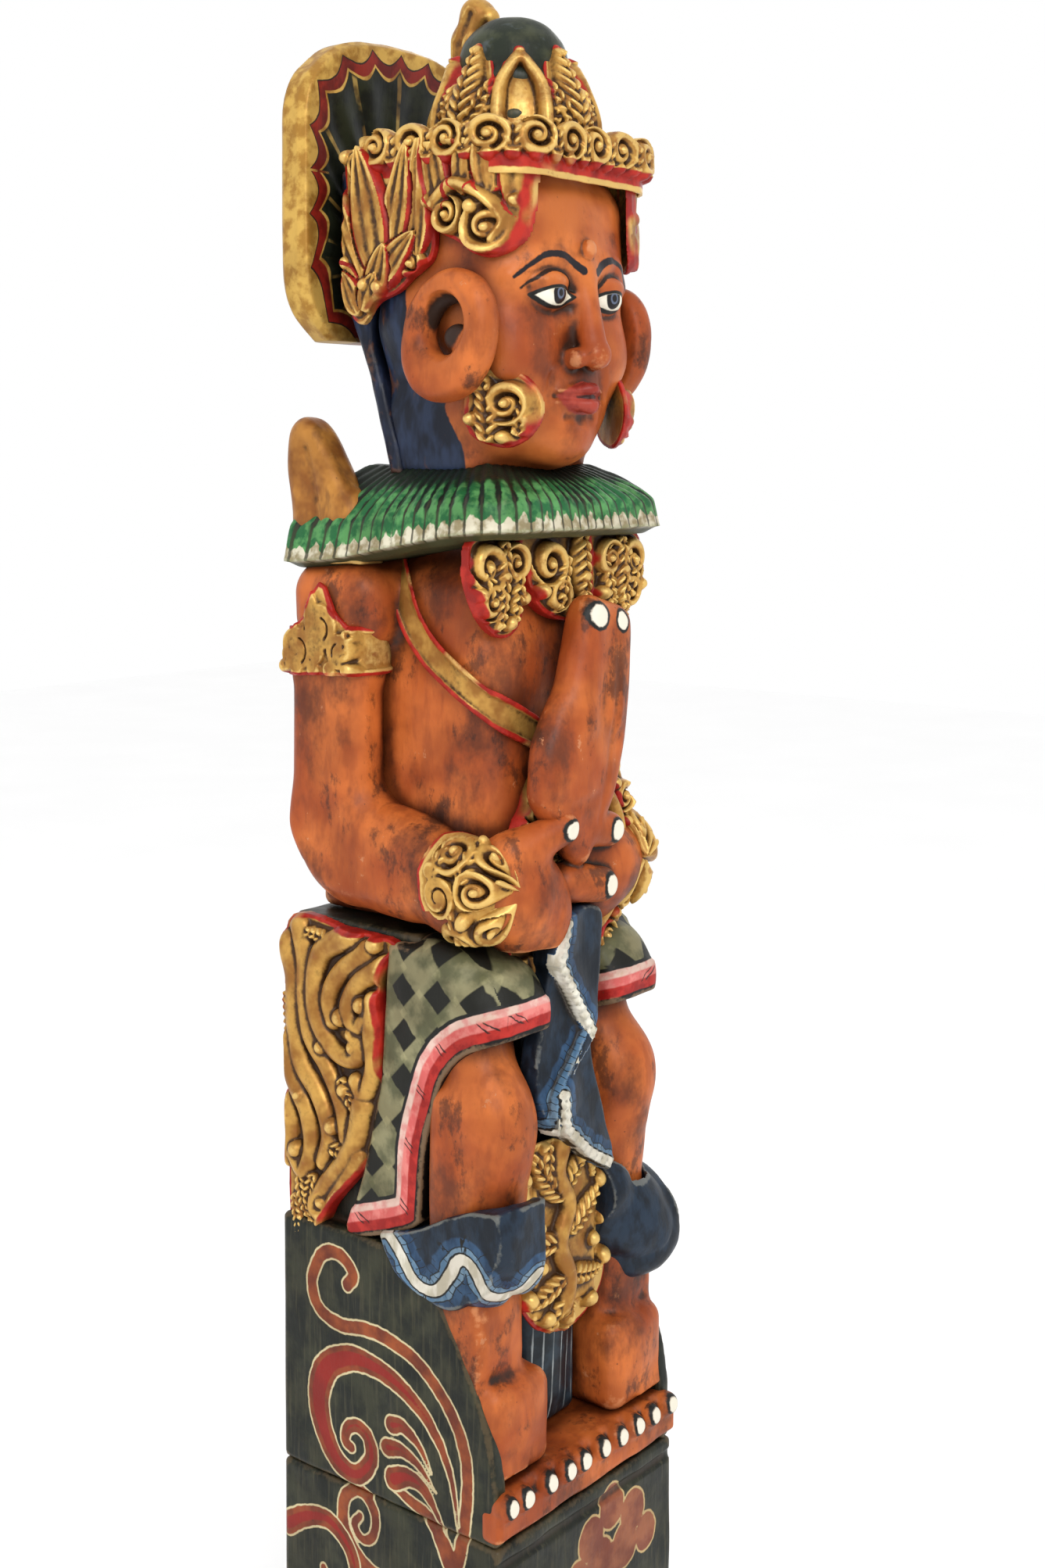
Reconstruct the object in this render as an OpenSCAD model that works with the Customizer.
// Carved and painted guardian figure, standing against a square post on a plinth.
// The figure faces -Y, its right side is -X, and the origin is the middle of the plinth's underside.

/* [Post] */
// Side of the square post that everything is carved within
post_w = 200; // [180:2:260]
// Rounding of the post's long edges
post_edge = 4; // [1:0.5:8]
// Height of the plinth, from the floor to the foot step
plinth_h = 262; // [200:2:400]
// Height of the slab that the feet stand on
step_h = 38; // [28:1:60]
// How far the toes stand out in front of the post
toe_reach = 6; // [2:1:12]
// Height of the trunk, from the plinth to the waist
trunk_h = 393; // [340:1:480]

/* [Body] */
// Height of the torso, from the waist to the shoulders
torso_h = 250; // [220:1:320]
// Width of the torso between the arms
torso_w = 124; // [110:2:148]
// Front of the belly, in front of the post's centre
belly_y = 64; // [56:1:72]
// Height of each shoulder above the top of the arm
shoulder_h = 63; // [50:1:80]
// Thickness of the gold panels on the hips
hip_panel_t = 16; // [10:1:20]
// Width of a shin
shin_w = 57; // [46:1:62]
// Gap between the centre plane and each leg
leg_gap = 34; // [28:1:40]
// Radius of a knee
knee_r = 32; // [28:1:36]
// Width of the apron
apron_w = 92; // [80:1:100]

/* [Head] */
// Height of the collar, from the shoulders to the chin
collar_h = 67; // [50:1:80]
// Diameter of the neck
neck_d = 94; // [80:1:104]
// Height of the head, from the chin to the top of the brow band
head_h = 208; // [180:1:240]
// Width of the head between the ears
head_w = 160; // [140:2:180]
// Depth of the head, from the face to the back hair
head_d = 140; // [130:2:160]
// Thickness of the back hair
hair_t = 30; // [20:1:40]
// Thickness of the hair fan
fan_t = 26; // [16:1:34]
// Width of an ear, front to back
ear_w = 78; // [60:1:84]
// Thickness of an ear
ear_t = 13; // [8:1:18]
// Height of the crown above the head
crown_h = 103; // [80:1:130]
// Diameter of the crown at its foot
crown_d = 106; // [90:1:120]

/* [Joinery] */
// Clearance round each tenon and dowel
fit = 0.3; // [0.1:0.1:0.6]
// Side of the square loose tenons in the post
tenon_w = 70; // [50:2:80]
// Height of each square loose tenon
tenon_h = 90; // [60:2:110]
// Diameter of the dowel in the neck
neck_dowel_d = 30; // [20:1:40]
// Diameter of the dowel in each arm and in the crown
arm_dowel_d = 16; // [10:1:20]
// Diameter of the small dowels
peg_d = 10; // [6:1:12]
// Length of the small dowels
peg_len = 36; // [24:1:40]

/* [Hidden] */
$fn = 48;

half = post_w / 2;
eps = 0.01;
far = 400;

// Levels, from the floor up
foot_z = plinth_h + step_h;
ankle_z = foot_z + 67;
cuff_z = ankle_z + 46;
cheek_z = foot_z + 140;
knee_z = foot_z + 240;
waist_z = plinth_h + trunk_h;
arm_z = waist_z + torso_h - shoulder_h;
shoulder_z = waist_z + torso_h;
chin_z = shoulder_z + collar_h;
brow_z = chin_z + head_h;
crown_z = brow_z + crown_h;

// Depths, measured along Y from the post's centre
leg_seat_y = -45;
trunk_front_y = -20;
shin_front_y = -(half - 24);
panel_x = half - hip_panel_t + 2;
head_y = -27;
hair_y = head_y + head_d / 2;
fan_y = hair_y + hair_t;
face_y = head_y - head_d / 2;
crown_y = head_y - 5;
apron_x = -6;
arm_x = (torso_w / 2 + half) / 2;
arm_y = half / 2;

skin = [0.72, 0.40, 0.22];
gold = [0.76, 0.58, 0.25];
dark = [0.20, 0.22, 0.16];
blue = [0.25, 0.37, 0.52];
red = [0.66, 0.16, 0.12];
wood = [0.62, 0.46, 0.30];

// ---- shapes that repeat ----

module rounded_rect(w, d, r) {
  square([w - 2 * r, d], center = true);
  square([w, d - 2 * r], center = true);
  for (x = [-1, 1], y = [-1, 1])
    translate([x * (w / 2 - r), y * (d / 2 - r)]) circle(r);
}

module block(from, to) {
  translate(from) cube(to - from);
}

// Extrudes an outline drawn in Y and Z across X
module across(from_x, to_x) {
  translate([from_x, 0, 0]) rotate([90, 0, 90]) linear_extrude(to_x - from_x) children();
}

// Extrudes an outline drawn in X and Z along Y
module along(from_y, to_y) {
  translate([0, to_y, 0]) rotate([90, 0, 0]) linear_extrude(to_y - from_y) children();
}

// A piece is drawn on the figure's right, and mirrored for its left
module mirrored(side) {
  mirror([side < 0 ? 0 : 1, 0, 0]) children();
}

module upright_peg(x, y, z, d, len, gap = 0) {
  translate([x, y, z - len / 2 - gap]) cylinder(d = d + 2 * gap, h = len + 2 * gap);
}

module level_peg(x, y, z, gap = 0) {
  translate([x, y - peg_len / 2 - gap, z]) rotate([-90, 0, 0])
    cylinder(d = peg_d + 2 * gap, h = peg_len + 2 * gap);
}

module loose_tenon(z, gap = 0) {
  side = tenon_w + 2 * gap;
  translate([0, half / 3, z]) cube([side, side, tenon_h + 2 * gap], center = true);
}

// ---- joinery ----

module step_peg_set(gap = 0) {
  for (x = [-1, 1]) upright_peg(x * half * 0.6, -half * 0.75, plinth_h, peg_d, peg_len, gap);
}

module leg_peg_set(gap = 0) {
  for (x = [-1, 1], z = [foot_z + 30, cheek_z - 26])
    level_peg(x * (leg_gap + shin_w / 2), leg_seat_y, z, gap);
}

module arm_dowel_set(gap = 0) {
  for (x = [-1, 1]) upright_peg(x * arm_x, arm_y, arm_z, arm_dowel_d, 2.4 * peg_len, gap);
}

module neck_pin(gap = 0) {
  upright_peg(0, -10, chin_z, neck_dowel_d, 2.4 * peg_len, gap);
}

module crown_pin(gap = 0) {
  upright_peg(0, crown_y, brow_z, arm_dowel_d, 2 * peg_len, gap);
}

module hair_pin_set(gap = 0) {
  for (x = [-1, 1]) level_peg(x * head_w / 5, hair_y, chin_z + head_h / 3, gap);
}

module fan_pin_set(gap = 0) {
  for (x = [-1, 1]) level_peg(x * head_w / 6, fan_y, brow_z - head_h / 5, gap);
}

module hilt_pin(gap = 0) {
  upright_peg(-half + 20, half * 0.7, shoulder_z, peg_d, peg_len, gap);
}

// ---- outer forms, before neighbours are cut out ----

module trunk_form() {
  block([-panel_x, trunk_front_y, plinth_h], [panel_x, half, waist_z]);
  difference() {
    translate([0, 0, plinth_h]) linear_extrude(cheek_z - plinth_h)
      rounded_rect(post_w, post_w, post_edge);
    block([-half + 12, -half - eps, plinth_h - eps], [half - 12, leg_seat_y, cheek_z + eps]);
    across(-half - eps, half + eps) polygon([
      [-half - 1, plinth_h + 42], [-48, cheek_z - 28], [-36, cheek_z + 1], [-half - 1, cheek_z + 1]
    ]);
    across(-half - eps, half + eps) polygon([
      [-half - 1, plinth_h - 1], [-half + 2, plinth_h - 1],
      [-half + 2, plinth_h + 50], [-half - 1, plinth_h + 50]
    ]);
  }
}

module leg_form() {
  foot_front = half - 5;
  block([-half, -foot_front, foot_z], [-leg_gap, leg_seat_y, ankle_z]);
  block([-leg_gap - shin_w - 6, shin_front_y, ankle_z], [-leg_gap - 6, leg_seat_y, cheek_z]);
  hull() {
    translate([-leg_gap - knee_r, -half + knee_r + 4, cheek_z + 20]) sphere(knee_r, $fn = 28);
    translate([-leg_gap - knee_r + 2, -half + knee_r + 6, knee_z + 16]) sphere(knee_r + 4, $fn = 28);
    block([-leg_gap - 2 * knee_r + 8, trunk_front_y - 30, cheek_z], [-leg_gap, trunk_front_y, knee_z + 50]);
  }
}

module leg_forms() {
  for (side = [-1, 1]) mirrored(side) leg_form();
}

// Hem and front edge of the cloth on the side of the hip, shared with the gold panel
hip_edge = [[38, cheek_z + 1], [24, cheek_z + 43], [8, knee_z + 10], [4, knee_z + 63], [-2, waist_z - 12]];

module skirt_form() {
  across(-half + 3, half - 3) polygon(concat(hip_edge, [
    [-2, waist_z], [-78, waist_z], [-half + 6, waist_z - 37], [-half + 10, waist_z - 49],
    [-50, knee_z + 50], [-30, knee_z + 20], [-20, knee_z - 40], [0, cheek_z + 22]
  ]));
}

module hip_panel_form() {
  across(-half - 2, -panel_x) polygon(concat(hip_edge, [
    [half, waist_z - 5], [half, cheek_z + 1]
  ]));
}

module cloth_tail_form() {
  block([-leg_gap + 4, shin_front_y, foot_z], [leg_gap - 4, leg_seat_y, knee_z]);
  block([-leg_gap + 4, shin_front_y, cheek_z], [leg_gap - 4, trunk_front_y, knee_z + 50]);
}

module apron_form() {
  apron_r = apron_w / 2;
  along(shin_front_y - 18, shin_front_y) translate([apron_x, ankle_z + 8 + apron_r]) {
    circle(apron_r);
    translate([-apron_r, 0]) square([apron_w, 84]);
  }
}

module sash_form() {
  along(-half - 4, shin_front_y) polygon([
    [-18, waist_z + 4], [14, waist_z + 4], [4, waist_z - 30], [14, knee_z + 44], [2, knee_z + 20],
    [8, knee_z + 4], [34, knee_z - 44], [20, knee_z - 54], [-34, knee_z - 20], [-38, knee_z + 14],
    [-22, knee_z + 48], [-34, knee_z + 80]
  ]);
}

module waist_ornament_form() {
  shield_r = 64;
  along(-belly_y - 20, -belly_y) {
    translate([0, waist_z + 40]) circle(shield_r);
    translate([0, waist_z + 40]) rotate(45) square(shield_r * 1.34, center = true);
    translate([-shield_r * 0.75, waist_z - 54]) square([shield_r * 1.5, 50]);
  }
}

module torso_form() {
  chest_d = belly_y + half - 4;
  translate([0, (half - 4 - belly_y) / 2, waist_z]) linear_extrude(torso_h)
    rounded_rect(torso_w, chest_d, 30);
  translate([0, arm_y, arm_z]) linear_extrude(shoulder_h)
    rounded_rect(post_w, half - 4, 16);
  translate([0, -10, shoulder_z - eps]) cylinder(d = neck_d, h = collar_h + eps);
}

module upper_arm_form() {
  arm_w = half - torso_w / 2 + 12;
  translate([-half + arm_w / 2, arm_y, waist_z + 34]) linear_extrude(arm_z - waist_z - 34)
    rounded_rect(arm_w, half - 8, 16);
}

module forearm_form() {
  hull() {
    translate([-half + 28, arm_y + 4, waist_z + 38]) sphere(28, $fn = 24);
    translate([-half + 30, -half + 36, waist_z + 37]) sphere(30, $fn = 24);
  }
}

module right_hand_form() {
  hull() {
    translate([-half + 34, -half + 34, waist_z + 38]) sphere(28, $fn = 24);
    translate([-28, -half + 26, waist_z + 28]) sphere(26, $fn = 24);
    translate([-24, -half + 22, waist_z + 68]) sphere(16, $fn = 24);
  }
}

module raised_hand_form() {
  hull() {
    translate([half - 34, -half + 34, waist_z + 38]) sphere(28, $fn = 24);
    translate([30, -half + 24, waist_z + 24]) sphere(24, $fn = 24);
    translate([28, -half + 20, waist_z + 70]) sphere(24, $fn = 24);
  }
  for (x = [14, 40]) hull() {
    translate([x, -half + 20, waist_z + 70]) sphere(16, $fn = 20);
    translate([x, -half + 14, waist_z + 202]) sphere(13, $fn = 20);
  }
}

module collar_form() {
  hull() {
    translate([0, 0, shoulder_z]) linear_extrude(8) rounded_rect(post_w + 4, post_w + 4, 40);
    translate([0, -8, chin_z - 8]) cylinder(d = neck_d + 34, h = 2);
  }
}

module kris_hilt_form() {
  across(-half + 6, -half + 34) polygon([
    [half - 62, shoulder_z], [half - 4, shoulder_z], [half - 6, shoulder_z + 40],
    [half - 1, shoulder_z + 84], [half - 12, shoulder_z + 100], [half - 30, shoulder_z + 92],
    [half - 54, shoulder_z + 62], [half - 66, shoulder_z + 30]
  ]);
}

module head_form() {
  hull() {
    translate([0, head_y, chin_z + 58]) linear_extrude(head_h - 58)
      rounded_rect(head_w, head_d, 30);
    translate([0, head_y - 13, chin_z]) linear_extrude(2) rounded_rect(110, head_d - 34, 36);
  }
}

module hair_back_form() {
  across(-head_w / 2 + 14, head_w / 2 - 14) polygon([
    [hair_y, chin_z + 2], [hair_y + 16, chin_z + 2], [fan_y, chin_z + 70], [fan_y, brow_z],
    [hair_y, brow_z]
  ]);
}

module fan_outline() {
  fan_r = half + 7;
  intersection() {
    translate([0, brow_z - 2]) circle(fan_r, $fn = 96);
    translate([-half, brow_z - 2 - fan_r]) square([post_w, 2 * fan_r]);
  }
}

module ear_form() {
  translate([-head_w / 2 - ear_t, head_y - 20, chin_z + 91]) rotate([0, 90, 0])
    cylinder(d = ear_w, h = ear_t);
}

module temple_scroll_form() {
  across(-head_w / 2 - 14, -head_w / 2 + 24)
    translate([head_y - 35, brow_z - 44]) rounded_rect(68, 52, 12);
}

module petal_wing_form() {
  across(-head_w / 2 - 13, -head_w / 2 + 14) polygon([
    [head_y - 1, brow_z - 72], [head_y - 1, brow_z - 14], [8, brow_z - 14], [fan_y - 10, brow_z - 26],
    [fan_y - 4, brow_z - 98], [36, brow_z - 106], [14, brow_z - 80]
  ]);
}

module jaw_pendant_form() {
  across(-head_w / 2 - 2, -head_w / 2 + 30)
    translate([head_y - 46, chin_z + 36]) rounded_rect(34, 46, 16);
}

module diadem_form() {
  translate([0, head_y, brow_z - 14]) linear_extrude(14) rounded_rect(head_w + 10, head_d + 6, 34);
  difference() {
    translate([0, head_y, brow_z]) linear_extrude(16) rounded_rect(head_w + 6, head_d + 4, 32);
    translate([0, head_y, brow_z - eps]) linear_extrude(16 + 2 * eps)
      rounded_rect(head_w - 12, head_d - 12, 24);
  }
  for (x = [-3:3]) along(face_y - 4, face_y + 5) translate([x * head_w / 7.6, brow_z + 16]) circle(10);
}

crown_arc = [for (a = [0:15:90]) [28 * cos(a), crown_h - 22 + 22 * sin(a)]];

module crown_form() {
  translate([0, crown_y, brow_z]) rotate_extrude($fn = 64) polygon(concat(
    [[0, 0], [crown_d / 2, 0], [crown_d / 2, 24], [crown_d / 2 - 8, 26]], crown_arc));
}

module crown_leaf_form(turn) {
  translate([0, crown_y, brow_z + 26]) rotate(turn) difference() {
    translate([-17, -crown_d / 2, 0]) cube([34, 22, 42]);
    translate([-20, -crown_d / 2, 42]) rotate([-28, 0, 0]) translate([0, -20, -60]) cube([40, 20, 90]);
  }
}

module finial_form() {
  along(crown_y + 10, crown_y + 36) translate([0, crown_z - 22]) {
    circle(13);
    translate([-13, 0]) square([26, 20]);
    translate([0, 24]) circle(16);
  }
}

// ---- post ----

module plinth() {
  color(dark) difference() {
    linear_extrude(plinth_h) rounded_rect(post_w, post_w, post_edge);
    loose_tenon(plinth_h, fit);
    step_peg_set(fit);
  }
}

module foot_step() {
  color(skin) difference() {
    union() {
      block([-half + 12, -half + 2, plinth_h], [half - 12, leg_seat_y, foot_z]);
      block([-half - 2, -half - 1, plinth_h + 2], [half + 2, -half + 2, foot_z - 8]);
      for (i = [0:9]) translate([-half + 8 + i * (post_w - 16) / 9, -half + 2, plinth_h + 8])
        cylinder(r = toe_reach + 2, h = step_h - 14);
    }
    trunk_form();
    step_peg_set(fit);
  }
}

module trunk() {
  color(dark) difference() {
    trunk_form();
    loose_tenon(plinth_h, fit);
    loose_tenon(waist_z, fit);
    leg_peg_set(fit);
  }
}

module leg(side) {
  color(skin) difference() {
    mirrored(side) leg_form();
    trunk_form();
    leg_peg_set(fit);
  }
}

module right_leg() {
  leg(-1);
}

module left_leg() {
  leg(1);
}

module knee_cuff_form() {
  knee_gap = 0.4;
  difference() {
    across(-half - 4, -leg_gap - 1) polygon([
      [4, cheek_z + 7], [-20, cuff_z + 12], [-56, cuff_z], [-half - 3, cuff_z + 8],
      [-half - 3, cuff_z + 48], [-62, cuff_z + 42], [-20, cuff_z + 51]
    ]);
    block([-leg_gap - shin_w - 6, shin_front_y, ankle_z], [-leg_gap - 6, 0, cheek_z]);
    block([-leg_gap - 2 * knee_r - knee_gap, -half + 4 - knee_gap, cheek_z + 20 - knee_r - knee_gap],
      [0, far, brow_z]);
    trunk_form();
    skirt_form();
  }
}

module knee_cuff(side) {
  apron_edge = apron_w / 2 + 1;
  color(blue) difference() {
    mirrored(side) knee_cuff_form();
    block([apron_x - apron_edge, -far, 0], [apron_x + apron_edge, far, waist_z]);
  }
}

module right_knee_cuff() {
  knee_cuff(-1);
}

module left_knee_cuff() {
  knee_cuff(1);
}

// ---- cloth and gold below the waist ----

module skirt() {
  color([0.58, 0.56, 0.45]) difference() {
    skirt_form();
    trunk_form();
    leg_forms();
    cloth_tail_form();
    waist_ornament_form();
  }
}

module hip_panel(side) {
  color(gold) mirrored(side) hip_panel_form();
}

module right_hip_panel() {
  hip_panel(-1);
}

module left_hip_panel() {
  hip_panel(1);
}

module cloth_tail() {
  color(dark) difference() {
    cloth_tail_form();
    leg_forms();
  }
}

module apron() {
  color(gold) difference() {
    apron_form();
    leg_forms();
  }
}

module sash() {
  color(blue) difference() {
    sash_form();
    skirt_form();
    leg_forms();
    apron_form();
    waist_ornament_form();
    right_hand_form();
    raised_hand_form();
  }
}

module waist_ornament() {
  color(gold) waist_ornament_form();
}

// ---- torso and arms ----

module torso() {
  color(skin) difference() {
    torso_form();
    loose_tenon(waist_z, fit);
    arm_dowel_set(fit);
    neck_pin(fit);
    hilt_pin(fit);
  }
}

module right_arm() {
  color(skin) difference() {
    union() {
      upper_arm_form();
      forearm_form();
      right_hand_form();
    }
    torso_form();
    waist_ornament_form();
    block([0, -far, 0], [far, far, crown_z]);
    arm_dowel_set(fit);
  }
}

module left_arm() {
  color(skin) difference() {
    union() {
      mirrored(1) upper_arm_form();
      mirrored(1) forearm_form();
      raised_hand_form();
    }
    torso_form();
    waist_ornament_form();
    block([-far, -far, 0], [0, far, crown_z]);
    arm_dowel_set(fit);
  }
}

module armband(side) {
  band_h = 38;
  color(gold) mirrored(side) difference() {
    union() {
      block([-half - 4, -3, arm_z - band_h / 2], [-torso_w / 2 + 2, half, arm_z + band_h / 2]);
      across(-half - 4, -half + 4) polygon([
        [28, arm_z], [half - 8, arm_z], [half - 20, arm_z + 34], [half - 44, arm_z + 50],
        [38, arm_z + 32]
      ]);
    }
    torso_form();
    upper_arm_form();
  }
}

module right_armband() {
  armband(-1);
}

module left_armband() {
  armband(1);
}

module bracelet(side) {
  color(gold) difference() {
    mirrored(side) intersection() {
      hull() {
        translate([-half + 30, 0, waist_z + 38]) sphere(33, $fn = 24);
        translate([-half + 31, -half + 34, waist_z + 38]) sphere(33.5, $fn = 24);
      }
      block([-half - 6, -half + 16, waist_z + 0.5], [-torso_w / 2 + 4, -half + 62, waist_z + 90]);
    }
    torso_form();
    waist_ornament_form();
    mirrored(side) forearm_form();
    if (side < 0) right_hand_form();
    if (side > 0) raised_hand_form();
  }
}

module right_bracelet() {
  bracelet(-1);
}

module left_bracelet() {
  bracelet(1);
}

module baldric() {
  band_t = 4;
  band_w = 34;
  chest_d = belly_y + half - 4;
  color(gold) difference() {
    intersection() {
      translate([0, (half - 4 - belly_y) / 2, waist_z]) linear_extrude(torso_h - 3)
        rounded_rect(torso_w + 2 * band_t, chest_d + 2 * band_t, 30 + band_t);
      translate([0, -far / 2 + 30, arm_z - 22]) rotate([0, 46, 0])
        cube([far, far, band_w], center = true);
      block([-half, -half, waist_z + 88], [torso_w / 2, 30, shoulder_z - 8]);
    }
    torso_form();
    chest_forms();
    waist_ornament_form();
    upper_arm_form();
    for (side = [-1, 1]) mirrored(side) forearm_form();
    right_hand_form();
    raised_hand_form();
    for (side = [-1, 1]) mirrored(side)
      block([-half - 4, -3 - fit, arm_z - 20], [-torso_w / 2 + 2, half, arm_z + 20]);
  }
}

// ---- chest ----

module chest_lobe_form(x, z, r, h) {
  along(-belly_y - 18, -belly_y) translate([x, z]) {
    circle(r);
    translate([-r, 0]) square([2 * r, h]);
  }
}

module chest_forms() {
  chest_centre_form();
  for (side = [-1, 1]) mirrored(side) chest_side_form();
}

module chest_centre_form() {
  chest_lobe_form(0, shoulder_z - 30, 20, 30);
}

module chest_side_form() {
  chest_lobe_form(-42, shoulder_z - 34, 19, 34);
}

module chest_ornament() {
  color(gold) difference() {
    chest_centre_form();
    raised_hand_form();
  }
}

module chest_lobe(side) {
  color(gold) difference() {
    mirrored(side) chest_side_form();
    torso_form();
    raised_hand_form();
  }
}

module right_chest_lobe() {
  chest_lobe(-1);
}

module left_chest_lobe() {
  chest_lobe(1);
}

module collar() {
  color([0.25, 0.55, 0.35]) difference() {
    collar_form();
    torso_form();
    kris_hilt_form();
  }
}

module kris_hilt() {
  color(gold) difference() {
    kris_hilt_form();
    hilt_pin(fit);
  }
}

// ---- head ----

module head() {
  color(skin) difference() {
    head_form();
    neck_pin(fit);
    crown_pin(fit);
    hair_pin_set(fit);
  }
}

module hair_back() {
  color([0.12, 0.15, 0.24]) difference() {
    hair_back_form();
    hair_pin_set(fit);
    fan_pin_set(fit);
  }
}

module hair_fan() {
  color(dark) difference() {
    along(fan_y, fan_y + fan_t) fan_outline();
    fan_pin_set(fit);
  }
}

module ear(side) {
  color(skin) mirrored(side) difference() {
    ear_form();
    translate([-head_w / 2 - ear_t - eps, head_y - 24, chin_z + 92]) rotate([0, 90, 0])
      cylinder(d = ear_w / 2.4, h = ear_t * 0.6);
  }
}

module right_ear() {
  ear(-1);
}

module left_ear() {
  ear(1);
}

module temple_scroll(side) {
  color(gold) difference() {
    mirrored(side) temple_scroll_form();
    head_form();
    mirrored(side) ear_form();
    diadem_form();
  }
}

module right_temple_scroll() {
  temple_scroll(-1);
}

module left_temple_scroll() {
  temple_scroll(1);
}

module petal_wing(side) {
  color(gold) difference() {
    mirrored(side) petal_wing_form();
    head_form();
    hair_back_form();
    mirrored(side) ear_form();
    mirrored(side) temple_scroll_form();
    diadem_form();
  }
}

module right_petal_wing() {
  petal_wing(-1);
}

module left_petal_wing() {
  petal_wing(1);
}

module jaw_pendant(side) {
  color(gold) difference() {
    mirrored(side) jaw_pendant_form();
    head_form();
    mirrored(side) ear_form();
  }
}

module right_jaw_pendant() {
  jaw_pendant(-1);
}

module left_jaw_pendant() {
  jaw_pendant(1);
}

module diadem() {
  color(gold) difference() {
    diadem_form();
    head_form();
    hair_back_form();
    along(fan_y, fan_y + fan_t) fan_outline();
  }
}

module crown() {
  color(dark) difference() {
    crown_form();
    crown_pin(fit);
    finial_form();
  }
}

module crown_leaves() {
  color(gold) for (turn = [0:45:315]) difference() {
    crown_leaf_form(turn);
    crown_form();
    finial_form();
  }
}

module crown_finial() {
  color(gold) finial_form();
}

// ---- pieces held inside ----

module trunk_tenon() {
  color(wood) loose_tenon(plinth_h);
}

module torso_tenon() {
  color(wood) loose_tenon(waist_z);
}

module neck_dowel() {
  color(wood) neck_pin();
}

module crown_dowel() {
  color(wood) crown_pin();
}

module fan_dowels() {
  color(wood) fan_pin_set();
}

module hair_dowels() {
  color(wood) hair_pin_set();
}

module arm_dowels() {
  color(wood) arm_dowel_set();
}

module leg_pegs() {
  color(wood) leg_peg_set();
}

module step_pegs() {
  color(wood) step_peg_set();
}

module hilt_peg() {
  color(wood) hilt_pin();
}

plinth();
foot_step();
trunk();
right_leg();
left_leg();
right_knee_cuff();
left_knee_cuff();
skirt();
right_hip_panel();
left_hip_panel();
cloth_tail();
apron();
sash();
waist_ornament();
torso();
right_arm();
left_arm();
right_armband();
left_armband();
right_bracelet();
left_bracelet();
baldric();
chest_ornament();
right_chest_lobe();
left_chest_lobe();
collar();
kris_hilt();
head();
hair_back();
hair_fan();
right_ear();
left_ear();
right_temple_scroll();
left_temple_scroll();
right_petal_wing();
left_petal_wing();
right_jaw_pendant();
left_jaw_pendant();
diadem();
crown();
crown_leaves();
crown_finial();
trunk_tenon();
torso_tenon();
neck_dowel();
crown_dowel();
fan_dowels();
hair_dowels();
arm_dowels();
leg_pegs();
step_pegs();
hilt_peg();
